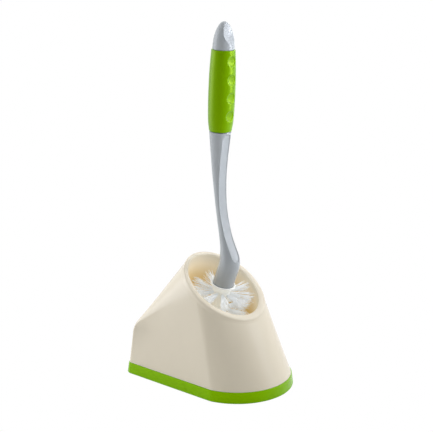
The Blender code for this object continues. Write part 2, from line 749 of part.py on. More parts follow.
def tufts(material, parent):
    """Nylon tufts: a tapered bundle from each hole, spreading to its tip."""
    for row, reach in enumerate(TUFT_REACHES):
        profile = [
            (TUFT_HOLE_BOTTOM + GAP, TUFT_HOLE_RADIUS - GAP), (HUB_RADIUS, TUFT_HOLE_RADIUS - GAP),
            (reach - 2 * TUFT_TIP_EDGE, TUFT_TIP_RADIUS), (reach, TUFT_TIP_RADIUS - TUFT_TIP_EDGE)]
        for column in range(TUFT_COLUMNS):
            rings = [tuft_ring(row, column, distance, radius) for distance, radius in profile]
            name = f"tuft_{row + 1}_{column + 1}"
            mesh = loft(name, rings, start=centre(rings[0]), end=centre(rings[-1]))
            add_object(name, mesh, material, parent)


def build():
    clear_scene()
    cream = plastic("cream_plastic", (0.80, 0.74, 0.60), 0.18)
    green = plastic("green_plastic", (0.25, 0.52, 0.004), 0.28)
    soft_green = plastic("green_soft_grip", (0.23, 0.50, 0.003), 0.42)
    grey = plastic("grey_plastic", (0.42, 0.45, 0.48), 0.3)
    white = plastic("white_plastic", (0.85, 0.87, 0.83), 0.35)
    nylon = plastic("white_nylon", (0.88, 0.88, 0.86), 0.5)
    rubber = plastic("foot_rubber", (0.5, 0.5, 0.5), 0.8)

    holder_shell(cream)
    base_tray(green)
    anti_slip_feet(rubber)

    # The brush lifts out along the lean of the tube; its empty stands on that axis
    lift = bpy.data.objects.new("brush_lift", None)
    lift.location = head_point(HUB_LENGTH)
    lift.rotation_euler = (LEAN, 0, 0)
    bpy.context.collection.objects.link(lift)
    bpy.context.view_layer.update()
    handle_stem(grey, lift)
    grip_sleeve(soft_green, lift)
    end_cap(grey, lift)
    brush_hub(white, lift)
    tufts(nylon, lift)


build()
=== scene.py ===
"""Looks of a toilet brush that stands in its holder.

Every visible piece is made again as a fine mesh, from the same driving
dimensions as the CAD frame that it covers, and the brush head gets its single
nylon filaments. Units are metres. +Z is up, -Y is the holder's front, and
X = 0 is its middle plane.
"""
import math

import bmesh
import bpy
import numpy as np
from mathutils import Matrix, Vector


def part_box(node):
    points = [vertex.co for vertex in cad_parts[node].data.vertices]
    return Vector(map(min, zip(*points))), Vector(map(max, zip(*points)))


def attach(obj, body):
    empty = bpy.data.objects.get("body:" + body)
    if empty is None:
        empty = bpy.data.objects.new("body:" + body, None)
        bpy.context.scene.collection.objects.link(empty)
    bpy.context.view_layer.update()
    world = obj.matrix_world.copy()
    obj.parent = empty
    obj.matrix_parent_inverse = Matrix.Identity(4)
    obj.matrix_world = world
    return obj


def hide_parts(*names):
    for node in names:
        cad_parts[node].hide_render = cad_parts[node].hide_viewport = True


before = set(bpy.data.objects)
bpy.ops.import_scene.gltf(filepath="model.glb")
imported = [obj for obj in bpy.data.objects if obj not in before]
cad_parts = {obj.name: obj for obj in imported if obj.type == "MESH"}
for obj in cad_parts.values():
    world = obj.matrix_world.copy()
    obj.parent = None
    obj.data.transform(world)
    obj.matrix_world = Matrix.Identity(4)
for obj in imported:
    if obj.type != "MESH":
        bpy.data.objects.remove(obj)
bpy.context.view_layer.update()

MM = 0.001
GAP = 0.3 * MM

# Footprint of the drip tray
FRONT_RADIUS = 67.5 * MM
FRONT_CENTRE_Y = -26 * MM
SIDE_OFFSET = 66 * MM
SIDE_FLARE = math.radians(2.6)
CHEEK_RADIUS = 24 * MM
REAR_Y = 93.5 * MM
REAR_CORNER_RADIUS = 9 * MM

# Drip tray
TRAY_UNDERSIDE = 0.4 * MM
TRAY_TOP = 13.6 * MM
TRAY_FLOOR = 4.2 * MM
TRAY_EDGE = 1.5 * MM
TRAY_FLARE = 1.6 * MM
TRAY_SEAM_EDGE = 0.5 * MM
LIP_TOP = 17.4 * MM
LIP_THICKNESS = 1.8 * MM
LIP_CLEARANCE = 1.2
LIP_DRAFT = 0.6
DAM_TOP = 12 * MM
DAM_CLEARANCE = 0.8 * MM
DAM_WALL = 2 * MM
POST_RADIUS = 13 * MM
POST_DRAFT = 2 * MM
POST_RIM = 1.5 * MM
POST_SEAT_RADIUS = 5 * MM
DISC_SIDES = 64
FOOT_HEIGHT = 2.1 * MM
FOOT_EDGE = 0.6 * MM
FOOT_HOLLOW_DEPTH = 0.3 * MM
FOOT_HOLLOW_EDGE_SHARE = 0.5
FOOT_HOLLOW_FLOOR_SHARE = 0.55

# Holder shell
SHELL_INSET = TRAY_FLARE + 1 * MM
SHELL_WALL = 2.5 * MM
SHELL_BASE = TRAY_TOP + GAP
SIDE_DRAFT = 0.178
REAR_DRAFT = 0.06
SHOULDER_Z = 60 * MM
SHOULDER_ROUND = 9 * MM
WALL_STEPS = 12
ROOF_STEPS = 42

# Slanted mouth, rolled rim and leaning inner tube
MOUTH_SLOPE = 0.635
MOUTH_Y = -5.3 * MM
MOUTH_Z = 115 * MM
RIM_HALF_WIDTH = 50 * MM
RIM_HALF_DEPTH = 47.5 * MM
RIM_Y = -5.8 * MM
RIM_RISE = 3.4 * MM
RIM_SQUARENESS = 3.2
ROLL_END = 0.5 * MM
ROLL_STEPS = 24
ROLL_INSIDE = 7
RIM_SMOOTHINGS = 3
BEAD_HEIGHT = 0.3 * MM
BEAD_WIDTH = 1.6 * MM
VALLEY_DEPTH = 0.15 * MM
VALLEY_DISTANCE = 4.2 * MM
VALLEY_WIDTH = 2.2 * MM
VALLEY_FADE = 1.0
WEB_DEPTH_FRONT = 6 * MM
WEB_DEPTH_BACK = 22 * MM
WEB_MOST_SHARE = 0.9
WEB_FREE_ROWS = 8
LEAN = math.radians(15)
TUBE_HALF_WIDTH = 42 * MM
TUBE_HALF_DEPTH = 49 * MM
TUBE_Y = -3.8 * MM
TUBE_WALL = 2.2 * MM
TUBE_DRAFT = 1.5 * MM
TUBE_BASE = TRAY_FLOOR + 1 * MM
BORE_STEPS = 60
BORE_CROWDING = 1.3

# Handle, in millimetres: height and y of its middle line, then height and radius
HANDLE_LINE = [
    (100, 1.2), (116, -3.1), (131, -8.9), (147, -14.4), (161, -12.3), (181, -7.2), (209, -1.7),
    (242, 1.6), (268, 2.1), (300, 0.9), (350, -1.7), (392, -3.7), (427, -5.3), (440, -5.9),
]
STEM_RADII = [
    (100, 12.4), (116, 12.4), (132, 12.3), (147, 12.1), (155, 11.1), (168, 8.6), (182, 7.4),
    (210, 6.9), (238, 7.7), (267, 9.6), (295, 12.2), (302, 12.9), (310, 13.4),
]
GRIP_RADII = [
    (295, 12.2), (302, 13.0), (312, 14.4), (330, 15.2), (350, 15.4), (372, 15.0), (395.5, 13.7),
    (402, 13.2),
]
CAP_RADII = [
    (390, 13.3), (395.8, 12.7), (405, 11.95), (412, 10.7), (418.7, 8.3), (423, 5.8), (426, 2.9),
    (427, 0.0),
]
STEM_END = 119.4 * MM
STEM_SEAT_RADIUS = 11.9 * MM
STEM_SEAT_EDGE = 0.7 * MM
STEM_TOP = 301.7 * MM
STEM_TOP_EDGE = 0.6 * MM
STEM_TOP_INSET = 0.4 * MM
CORE_TOP = 391 * MM
GRIP_BOTTOM = 302 * MM
GRIP_TOP = 395.5 * MM
GRIP_WALL = 3.2 * MM
GRIP_EDGE = 0.8 * MM
DIMPLE_HEIGHTS = (321 * MM, 341.8 * MM, 362.6 * MM, 383.4 * MM)
DIMPLE_RADIUS = 6.5 * MM
DIMPLE_DEPTH = 1.9 * MM
DIMPLE_RIM = 1.5 * MM
CHANNEL_HALF_WIDTH = 6.3 * MM
CHANNEL_BOTTOM = 149 * MM
CHANNEL_TOP = 299 * MM
CHANNEL_DEPTH = 1.7 * MM
CHANNEL_ROUNDNESS = 2.6
CHANNEL_WALL = 0.22
CHANNEL_WALL_SHARE = 0.4
CHANNEL_END_SHALLOWING = 0.7
CHANNEL_EASING = 0.35
CHANNEL_FINE = 9 * MM
CHANNEL_LEAST_ANGLE = math.radians(14)
CHANNEL_MARGIN = 0.94
CAP_TOP = 427 * MM
CAP_SCOOP_RADIUS = 34 * MM
CAP_SCOOP_Z = 413.4 * MM
CAP_SCOOP_FORWARD = 6 * MM
CAP_SCOOP_TILT = math.radians(19)
CAP_SCOOP_EDGE = 0.5 * MM
CAP_LEAST_RADIUS = 0.02 * MM
CAP_SEAM_HEIGHT = 0.4 * MM
CAP_SEAM_INSET = 0.15 * MM
PLUG_RADIUS = 5 * MM
PLUG_LENGTH = 14 * MM

# Brush head, measured along its own axis from the rim of its collar
COLLAR_DEPTH = 3 * MM
COLLAR_SEAT = [(3, 12.2), (0.9, 12.65), (0.35, 13.2)]
COLLAR_ROUND = 0.8 * MM
COLLAR_RIM = 14.1 * MM
COLLAR_FLARE = [(0.8, 14.9), (3, 14.3), (6, 12.2), (9.5, 10.6), (12, 10.5)]
COLLAR_FLARE_START = 1.2 * MM
COLLAR_FLARE_END = 11.5 * MM
HUB_RADIUS = 10.5 * MM
HUB_START = 12.5 * MM
HUB_LENGTH = 109.5 * MM
HUB_TIP = 9 * MM
SPIGOT_RADIUS = 5.2 * MM
SPIGOT_LENGTH = 11 * MM
TUFT_COLUMNS = 9
TUFT_FIRST = 12.6 * MM
TUFT_PITCH = 18.7 * MM
TUFT_REACHES = (39.5 * MM, 39.5 * MM, 39 * MM, 36.5 * MM, 31 * MM)
TUFT_START = math.radians(1)
TUFT_HOLE_RADIUS = 2.1 * MM
TUFT_HOLE_ENDS = (8 * MM, 13 * MM)
TUFT_ROOT = 8.3 * MM
TUFT_SPREAD = 7.6 * MM
TUFT_SPREAD_RANGE = (0.85, 1.15)
TUFT_LENGTH_RANGE = (0.84, 1.03)
TUFT_DOME = 0.05
TUFT_STIFF_SHARE = 0.05
TUFT_CURL = 1.1
TUFT_ROOT_INSET = 0.5 * MM
TUFT_WANDER = 0.5 * MM
TUFT_LEAN = 1.1 * MM
TUFT_BEND = 0.6 * MM
FILAMENTS = 56
FILAMENT_RADIUS = 0.18 * MM
FILAMENT_STEPS = 7
FILAMENT_SIDES = 5
OFF_AXIS = np.array((0.31, 0.17, 0.93))

# Fineness of the lofts
FRONT_STEPS = 60
SIDE_STEPS = 16
CORNER_STEPS = 24
BACK_STEPS = 14
RIM_SIDE = math.radians(88)
RIM_CORNER_START = math.radians(96)
RIM_CORNER_END = math.radians(160)
AROUND = 96


# ------------------------------------------------------------------ meshes

def add_mesh(name, vertices, faces, sharp_angle):
    mesh = bpy.data.meshes.new(name)
    mesh.from_pydata([tuple(v) for v in vertices], [], faces)
    bm = bmesh.new()
    bm.from_mesh(mesh)
    bmesh.ops.recalc_face_normals(bm, faces=bm.faces)
    bm.to_mesh(mesh)
    bm.free()
    mesh.shade_smooth()
    mesh.set_sharp_from_angle(angle=math.radians(sharp_angle))
    thing = bpy.data.objects.new(name, mesh)
    bpy.context.scene.collection.objects.link(thing)
    return thing


def loft(name, rings, closed=False, sharp_angle=40):
    """Skin an array of rings (ring, point, xyz). An open loft is closed by a fan at each end."""
    rings = np.asarray(rings)
    rows, count = rings.shape[:2]
    vertices = rings.reshape(-1, 3)
    faces = []
    for k in range(rows if closed else rows - 1):
        low, high = k * count, (k + 1) % rows * count
        for i in range(count):
            j = (i + 1) % count
            faces.append((low + i, low + j, high + j, high + i))
    if not closed:
        vertices = np.vstack([vertices, rings[0].mean(0), rings[-1].mean(0)])
        for row, pole in ((0, rows * count), ((rows - 1) * count, rows * count + 1)):
            faces += [(row + i, row + (i + 1) % count, pole) for i in range(count)]
    return add_mesh(name, vertices, faces, sharp_angle)


def subtract(thing, cutters, sharp_angle=40):
    for cutter in cutters:
        modifier = thing.modifiers.new(cutter.name, "BOOLEAN")
        modifier.object = cutter
        modifier.operation = "DIFFERENCE"
        modifier.solver = "EXACT"
    depsgraph = bpy.context.evaluated_depsgraph_get()
    mesh = bpy.data.meshes.new_from_object(thing.evaluated_get(depsgraph))
    thing.modifiers.clear()
    thing.data = mesh
    mesh.set_sharp_from_angle(angle=math.radians(sharp_angle))
    for cutter in cutters:
        bpy.data.objects.remove(cutter, do_unlink=True)


def curve_through(points, height):
    """Catmull-Rom value at a height, through (height, value) points in millimetres."""
    z = height / MM
    k = min(max(int(np.searchsorted([p[0] for p in points], z)) - 1, 0), len(points) - 2)
    (z0, v0), (z1, v1) = points[k], points[k + 1]
    before = points[k - 1] if k > 0 else (2 * z0 - z1, 2 * v0 - v1)
    after = points[k + 2] if k + 2 < len(points) else (2 * z1 - z0, 2 * v1 - v0)
    span = z1 - z0
    rise0 = (v1 - before[1]) / (z1 - before[0]) * span
    rise1 = (after[1] - v0) / (after[0] - z0) * span
    t = (z - z0) / span
    value = (2 * t ** 3 - 3 * t ** 2 + 1) * v0 + (t ** 3 - 2 * t ** 2 + t) * rise0
    value += (3 * t ** 2 - 2 * t ** 3) * v1 + (t ** 3 - t ** 2) * rise1
    return value * MM


# ------------------------------------------------------------------ holder

def footprint(inset, draft=0.0, rear_draft=0.0):
    """Half outline, from mid front to mid back on the +X side, as (x, y) rows."""
    side_normal = math.pi / 2 - SIDE_FLARE
    out = np.array((math.cos(SIDE_FLARE), -math.sin(SIDE_FLARE)))
    forward = np.array((-math.sin(SIDE_FLARE), -math.cos(SIDE_FLARE)))
    across = SIDE_OFFSET - CHEEK_RADIUS
    along = math.sqrt((FRONT_RADIUS - CHEEK_RADIUS) ** 2 - across ** 2)
    front = np.array((0, FRONT_CENTRE_Y))
    cheek = front + out * across + forward * along
    cheek_start = math.atan2(cheek[0], front[1] - cheek[1])
    corner_y = REAR_Y - REAR_CORNER_RADIUS
    corner_x = SIDE_OFFSET - REAR_CORNER_RADIUS + math.sin(SIDE_FLARE) * (corner_y - front[1])
    corner = np.array((corner_x / math.cos(SIDE_FLARE), corner_y))

    points = []
    for angle in np.linspace(0, side_normal, FRONT_STEPS + 1):
        normal = np.array((math.sin(angle), -math.cos(angle)))
        middle, radius = (front, FRONT_RADIUS) if angle <= cheek_start else (cheek, CHEEK_RADIUS)
        points.append(middle + normal * (radius - inset - draft))
    side_start = points[-1]
    side_end = corner + out * (REAR_CORNER_RADIUS - inset - draft)
    for i in range(1, SIDE_STEPS + 1):
        points.append(side_start + (side_end - side_start) * i / (SIDE_STEPS + 1))
    for turn in np.linspace(0, 1, CORNER_STEPS):
        angle = side_normal + (math.pi - side_normal) * turn
        normal = np.array((math.sin(angle), -math.cos(angle)))
        shift = out * (-draft * (1 - turn) ** 2 - rear_draft * turn * (1 - turn))
        shift = shift + np.array((-draft * turn, -rear_draft * turn))
        points.append(corner + normal * (REAR_CORNER_RADIUS - inset) + shift)
    back_start = points[-1]
    for i in range(1, BACK_STEPS + 1):
        points.append(back_start * np.array((1 - i / BACK_STEPS, 1)))
    return np.array(points)


def rim_angles():
    """The angle round the mouth that belongs to each point of footprint()."""
    side = np.linspace(RIM_SIDE, RIM_CORNER_START, SIDE_STEPS + 2)[1:-1]
    return np.concatenate([
        np.linspace(0, RIM_SIDE, FRONT_STEPS + 1), side,
        np.linspace(RIM_CORNER_START, RIM_CORNER_END, CORNER_STEPS),
        np.linspace(RIM_CORNER_END, math.pi, BACK_STEPS + 1)[1:]])


def all_round(angles):
    return np.concatenate([angles, 2 * math.pi - angles[-2:0:-1]])


def whole_ring(half):
    """A closed ring of points from its +X half, which ends on the middle plane."""
    mirrored = half[-2:0:-1] * np.array((-1,) + (1,) * (half.shape[1] - 1))
    return np.vstack([half, mirrored])


def at_height(outline, z):
    return np.column_stack([outline, np.full(len(outline), z)])


def mouth_height(y):
    return MOUTH_Z + MOUTH_SLOPE * (y - MOUTH_Y)


def tube_point(angle, z, grow=0.0):
    """Points of the inner tube's bore; grow moves them outwards."""
    top = mouth_height(TUBE_Y)
    drop = (top - z) / (top - TUBE_BASE)
    width = TUBE_HALF_WIDTH + grow + TUBE_DRAFT * drop
    depth = TUBE_HALF_DEPTH + grow + TUBE_DRAFT * drop
    y = TUBE_Y + math.tan(LEAN) * (top - z) - depth * np.cos(angle)
    return np.stack([width * np.sin(angle), y, z + 0 * angle], axis=-1)


def tube_mouth(angle, below):
    """Where the bore meets a plane parallel to the mouth, found by halving."""
    low = np.full(len(angle), TUBE_BASE)
    high = np.full(len(angle), 2 * MOUTH_Z)
    for _ in range(40):
        z = (low + high) / 2
        under = z < mouth_height(tube_point(angle, z)[:, 1]) - below
        low = np.where(under, z, low)
        high = np.where(under, high, z)
    return tube_point(angle, low)


def outer_skin():
    """Rings of the outer skin, from the base up to the rim."""
    base = at_height(footprint(SHELL_INSET), SHELL_BASE)
    rise = SHOULDER_Z - SHELL_BASE
    raised = at_height(footprint(SHELL_INSET, SIDE_DRAFT * rise, REAR_DRAFT * rise), SHOULDER_Z)
    angle = rim_angles()
    rim_y = RIM_Y - RIM_HALF_DEPTH * np.cos(angle)
    rim = np.column_stack([RIM_HALF_WIDTH * np.sin(angle), rim_y, mouth_height(rim_y)])
    share = rise / (rim[:, 2:] - SHELL_BASE)
    shoulder = base + (rim - base) * share
    first_corner = FRONT_STEPS + SIDE_STEPS + 1
    shoulder[first_corner:] = raised[first_corner:]
    before = shoulder + unit_rows(base - shoulder) * SHOULDER_ROUND
    after = shoulder + unit_rows(rim - shoulder) * SHOULDER_ROUND
    halves = [base + (before - base) * t for t in np.linspace(0, 1, WALL_STEPS)[:-1]]
    halves += [
        before * (1 - t) ** 2 + shoulder * 2 * t * (1 - t) + after * t ** 2
        for t in np.linspace(0, 1, WALL_STEPS)]
    halves += [
        after + (rim - after) * (1 - (1 - t) ** 2) for t in np.linspace(0, 1, ROOF_STEPS)[1:]]
    return np.array([whole_ring(half) for half in halves])


def inward_normals(rings):
    around = np.roll(rings, -1, axis=1) - np.roll(rings, 1, axis=1)
    normal = np.cross(np.gradient(rings, axis=0), around)
    return normal / np.linalg.norm(normal, axis=2, keepdims=True)


def smooth(rows, first, last):
    """Even out a run of rows along the profile, a quarter from either side."""
    for _ in range(RIM_SMOOTHINGS):
        rows[first:last] = (
            rows[first - 1:last - 1] + 2 * rows[first:last] + rows[first + 1:last + 1]) / 4


def unit_rows(vectors):
    return vectors / np.linalg.norm(vectors, axis=1, keepdims=True)


def rim_roll(outer, bore_top, angles):
    """Rings of the rolled rim: a squared arch from the outer skin to the top of the bore."""
    start = outer[-1]
    middle, half = (start + bore_top) / 2, (bore_top - start) / 2
    up_out = unit_rows(outer[-1] - outer[-3])
    up_in = unit_rows(bore_top - tube_mouth(angles, ROLL_END + 2 * RIM_RISE))
    up = unit_rows(up_out + up_in) * RIM_RISE
    power = 2 / RIM_SQUARENESS
    roll = []
    for turn in np.linspace(0, math.pi, ROLL_STEPS + 2)[1:-1]:
        across = math.copysign(abs(math.cos(turn)) ** power, math.cos(turn))
        roll.append(middle - half * across + up * math.sin(turn) ** power)
    return roll


def shell():
    """Outer skin with a bead round its mouth, rolled rim and inner tube."""
    angles = all_round(rim_angles())
    outer = outer_skin()
    inwards = inward_normals(outer)
    inner = outer[:-WEB_FREE_ROWS] + inwards[:-WEB_FREE_ROWS] * SHELL_WALL
    inner[0, :, 2] = SHELL_BASE
    web_top = outer[-1] + inwards[-1] * SHELL_WALL

    distance = np.linalg.norm(outer - outer[-1], axis=2, keepdims=True)
    bead = BEAD_HEIGHT * np.exp(-(distance / BEAD_WIDTH) ** 2)
    valley = VALLEY_DEPTH * np.exp(-((distance - VALLEY_DISTANCE) / VALLEY_WIDTH) ** 2)
    valley = valley * (1 - VALLEY_FADE * np.maximum(np.cos(angles), 0))[None, :, None]
    outer = outer + inwards * (valley - bead)

    bore_top = tube_mouth(angles, ROLL_END)
    roll = rim_roll(outer, bore_top, angles)
    bore = []
    for t in np.linspace(0, 1, BORE_STEPS):
        z = bore_top[:, 2] + (TUBE_BASE - bore_top[:, 2]) * t ** BORE_CROWDING
        bore.append(tube_point(angles, z))
    profile = np.concatenate([outer, roll, bore])
    smooth(profile, len(outer) - 4, len(outer) + len(roll) + 3)

    # The web under the rim lies deeper at the back, where skin and tube run close together
    towards_back = ((1 - np.cos(angles)) / 2) ** 2
    depth = WEB_DEPTH_FRONT + (WEB_DEPTH_BACK - WEB_DEPTH_FRONT) * towards_back
    share = np.minimum(depth / (web_top[:, 2] - inner[-1][:, 2] + depth), WEB_MOST_SHARE)
    web_skin = web_top + (inner[-1] - web_top) * share[:, None]
    web_tube = tube_point(angles, web_skin[:, 2], TUBE_WALL)
    below_web = [ring for ring in inner if np.all(ring[:, 2] < web_skin[:, 2])]
    outside = [
        tube_point(angles, web_tube[:, 2] + (TUBE_BASE - web_tube[:, 2]) * t, TUBE_WALL)
        for t in np.linspace(1, 0, 8)]
    rings = np.concatenate([profile, outside, [web_skin], below_web[::-1]])
    thing = loft("shell", rings, closed=True, sharp_angle=50)
    first_bore = (len(outer) + len(roll) - ROLL_INSIDE) * len(angles)
    last_bore = (len(profile) + 1) * len(angles)
    for face in thing.data.polygons[first_bore:last_bore]:
        face.material_index = 1
    return thing


def head_point(along, radius=0.0, angle=0.0):
    """A point of the brush head: along its axis, out from it, and round from the front."""
    axis = np.array((0, math.sin(LEAN), -math.cos(LEAN)))
    front = np.array((0, -math.cos(LEAN), -math.sin(LEAN)))
    start = np.array((0, curve_through(HANDLE_LINE, STEM_END), STEM_END))
    out = front * math.cos(angle) + np.array((1, 0, 0)) * math.sin(angle)
    return start + axis * along + out * radius


def disc(name, radius, profile, place):
    """A turned disc; the profile gives (inset, height) pairs from its underside up."""
    turn = even_angles(DISC_SIDES)
    rings = [
        np.column_stack([
            place[0] + (radius - inset) * np.sin(turn), place[1] - (radius - inset) * np.cos(turn),
            np.full(DISC_SIDES, z)])
        for inset, z in profile]
    return loft(name, rings)


def foot_places():
    places = {}
    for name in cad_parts:
        if name.startswith("foot_"):
            low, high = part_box(name)
            places[name] = ((low + high) / 2, (high.x - low.x) / 2)
    return places


def tray():
    """Drip tray: floor, proud outer band, locating lip, dam for the tube, and post."""
    angles = all_round(rim_angles())
    lip = SHELL_INSET + SHELL_WALL * LIP_CLEARANCE + GAP
    lip_top = lip + LIP_DRAFT * (LIP_TOP - TRAY_TOP)
    tip = head_point(HUB_LENGTH)

    def band(inset, z):
        return whole_ring(at_height(footprint(inset), z))

    def post(radius, z):
        return np.column_stack([
            radius * np.sin(angles), tip[1] - radius * np.cos(angles), np.full(len(angles), z)])

    rings = []
    for turn in np.linspace(0, math.pi / 2, 8):
        rings.append(band(
            TRAY_EDGE * (1 - math.sin(turn)), TRAY_UNDERSIDE + TRAY_EDGE * (1 - math.cos(turn))))
    for turn in np.linspace(0, math.pi / 2, 6):
        rings.append(band(
            TRAY_FLARE + TRAY_SEAM_EDGE * (1 - math.cos(turn)),
            TRAY_TOP - TRAY_SEAM_EDGE * (1 - math.sin(turn))))
    rings += [
        band(lip, TRAY_TOP), band(lip_top, LIP_TOP), band(lip_top + LIP_THICKNESS, LIP_TOP),
        band(lip_top + LIP_THICKNESS, TRAY_FLOOR)]
    for grow, z in ((-DAM_CLEARANCE, TRAY_FLOOR), (-DAM_CLEARANCE, DAM_TOP),
                    (-DAM_CLEARANCE - DAM_WALL, DAM_TOP), (-DAM_CLEARANCE - DAM_WALL, TRAY_FLOOR)):
        rings.append(tube_point(angles, z, grow))
    rings += [
        post(POST_RADIUS, TRAY_FLOOR), post(POST_RADIUS - POST_DRAFT, tip[2] + POST_RIM),
        post(POST_RADIUS - 2 * POST_DRAFT, tip[2] + POST_RIM), post(POST_SEAT_RADIUS, tip[2] - GAP)]
    thing = loft("tray", rings, sharp_angle=35)
    cutters = []
    for place, radius in foot_places().values():
        cutters.append(disc(
            "recess", radius + GAP, [(0, -TRAY_FLOOR), (0, FOOT_HEIGHT + GAP)], place))
    subtract(thing, cutters, 35)
    return thing


def feet():
    """Soft discs with a rounded edge, and a shallow hollow underneath."""
    made = {}
    for name, (place, radius) in foot_places().items():
        profile = [
            (radius * FOOT_HOLLOW_FLOOR_SHARE, FOOT_HOLLOW_DEPTH),
            (radius * FOOT_HOLLOW_EDGE_SHARE, 0), (FOOT_EDGE, 0)]
        for turn in np.linspace(0, math.pi / 2, 6)[1:]:
            profile.append((FOOT_EDGE * (1 - math.sin(turn)), FOOT_EDGE * (1 - math.cos(turn))))
        profile += [(0, FOOT_HEIGHT)]
        made[name] = disc(name.replace("foot", "pad"), radius, profile, place)
    return made


# ------------------------------------------------------------------ handle

def line_frame(z):
    """Place, forward direction and upward tangent of the handle's middle line."""
    step = 0.5 * MM
    rise = curve_through(HANDLE_LINE, z + step) - curve_through(HANDLE_LINE, z - step)
    tangent = np.array((0, rise, 2 * step)) / math.hypot(rise, 2 * step)
    place = np.array((0, curve_through(HANDLE_LINE, z), z))
    return place, np.array((0, -tangent[2], tangent[1])), tangent


def ring_about(place, forward, radius, angles):
    """Points round an axis; radius may be one value or one for each angle."""
    radius = np.broadcast_to(radius, angles.shape)[:, None]
    across = np.array((1.0, 0, 0))
    return (
        place + forward * radius * np.cos(angles)[:, None]
        + across * radius * np.sin(angles)[:, None])


def handle_ring(z, radius, angles):
    place, forward, _ = line_frame(z)
    return ring_about(place, forward, radius, angles)


def even_angles(count):
    return np.linspace(0, 2 * math.pi, count, endpoint=False)


def channel_half_width(z):
    """Half width of the thumb channel at a height; both of its ends are round."""
    end = CHANNEL_HALF_WIDTH
    power = CHANNEL_ROUNDNESS
    top = 1 - min(max((z - (CHANNEL_TOP - end)) / end, 0), 1) ** power
    bottom = 1 - min(max(((CHANNEL_BOTTOM + end) - z) / end, 0), 1) ** power
    return CHANNEL_HALF_WIDTH * max(min(top, bottom), 0) ** (1 / power)


def stem_ring(z, radius):
    """A ring of the stem; the points of its front third follow the scooped channel."""
    place, forward, _ = line_frame(z)
    half = channel_half_width(z)
    lip_x = min(half, radius * CHANNEL_MARGIN)
    edge = max(math.asin(lip_x / radius), CHANNEL_LEAST_ANGLE)
    scooped = np.linspace(-edge, edge, AROUND // 3 + 1)
    plain = np.linspace(edge, 2 * math.pi - edge, AROUND - AROUND // 3 + 1)[1:-1]
    angles = np.concatenate([scooped, plain])
    x, y = radius * np.sin(angles), radius * np.cos(angles)
    if half > 0:
        across = np.clip(np.abs(x) / half, 0, 1)
        wall = np.clip((1 - across) / CHANNEL_WALL, 0, 1)
        wall = wall * wall * (3 - 2 * wall)
        deep = CHANNEL_DEPTH * (half / CHANNEL_HALF_WIDTH) ** CHANNEL_END_SHALLOWING
        depth = deep * (
            CHANNEL_WALL_SHARE * wall + (1 - CHANNEL_WALL_SHARE) * (1 - across ** 2))
        lip = math.sqrt(radius ** 2 - lip_x ** 2)
        front = np.minimum(y, lip + CHANNEL_EASING * (y - lip) - depth)
        y = np.where((np.abs(angles) <= edge) & (np.abs(x) < half), front, y)
    ring = place + forward * y[:, None]
    ring[:, 0] += x
    return ring


def stem_heights():
    """Heights of the stem's rings, which are close together at both ends of the channel."""
    low, high = CHANNEL_BOTTOM + CHANNEL_FINE, CHANNEL_TOP - CHANNEL_FINE
    return np.concatenate([
        np.linspace(STEM_END + STEM_SEAT_EDGE, CHANNEL_BOTTOM - 0.2 * MM, 24),
        np.linspace(CHANNEL_BOTTOM, low, 36)[1:], np.linspace(low, high, 90)[1:],
        np.linspace(high, CHANNEL_TOP, 36)[1:], [STEM_TOP - STEM_TOP_EDGE]])


def stem():
    """S-shaped stem with its spigot below and its core through the grip."""
    turn = 2 * math.pi * (np.arange(AROUND) - (AROUND // 3) / 2) / AROUND
    spigot_end = COLLAR_DEPTH + SPIGOT_LENGTH
    seat = COLLAR_DEPTH - GAP

    def head_ring(along, radius):
        return np.array([head_point(along, radius, a) for a in turn])

    def core_ring(z, radius):
        place, forward, tangent = line_frame(CORE_TOP)
        return ring_about(place + tangent * (z - CORE_TOP), forward, radius, turn)

    rings = [
        head_ring(spigot_end, SPIGOT_RADIUS), head_ring(seat, SPIGOT_RADIUS),
        head_ring(seat, STEM_SEAT_RADIUS)]
    rings += [stem_ring(z, curve_through(STEM_RADII, z)) for z in stem_heights()]
    top_radius = curve_through(STEM_RADII, STEM_TOP) - STEM_TOP_INSET
    rings.append(handle_ring(STEM_TOP, top_radius, turn))
    for z in np.linspace(STEM_TOP, CORE_TOP, 24):
        rings.append(handle_ring(z, curve_through(GRIP_RADII, z) - GRIP_WALL - 2 * GAP, turn))
    rings.append(core_ring(CORE_TOP, PLUG_RADIUS + GAP))
    rings.append(core_ring(CORE_TOP - PLUG_LENGTH - GAP, PLUG_RADIUS + GAP))
    return loft("stem", rings, sharp_angle=38)


def grip():
    """Soft sleeve with rounded ends and four dished thumb dimples down its front."""
    angles = even_angles(160)
    side = (angles + math.pi) % (2 * math.pi) - math.pi

    def edge_ring(z, turn):
        inset = GRIP_EDGE * (1 - math.sin(turn))
        return handle_ring(z, curve_through(GRIP_RADII, z) - inset, angles)

    rings = []
    for turn in np.linspace(0, math.pi / 2, 7)[:-1]:
        rings.append(edge_ring(GRIP_BOTTOM + GRIP_EDGE * (1 - math.cos(turn)), turn))
    for z in np.linspace(GRIP_BOTTOM + GRIP_EDGE, GRIP_TOP - GRIP_EDGE, 190):
        radius = curve_through(GRIP_RADII, z)
        press = np.zeros(len(angles))
        for height in DIMPLE_HEIGHTS:
            away = np.hypot(side * radius, z - height)
            inside = np.clip(1 - (away / DIMPLE_RADIUS) ** 2, 0, 1)
            wall = np.clip((DIMPLE_RADIUS - away) / DIMPLE_RIM, 0, 1)
            press += DIMPLE_DEPTH * (0.5 * inside + 0.5 * wall * wall * (3 - 2 * wall))
        rings.append(handle_ring(z, radius - press, angles))
    for turn in np.linspace(math.pi / 2, 0, 7)[1:]:
        rings.append(edge_ring(GRIP_TOP - GRIP_EDGE * (1 - math.cos(turn)), turn))
    for z in np.linspace(GRIP_TOP, GRIP_BOTTOM, 24):
        rings.append(handle_ring(z, curve_through(GRIP_RADII, z) - GRIP_WALL, angles))
    return loft("grip", rings, closed=True, sharp_angle=60)


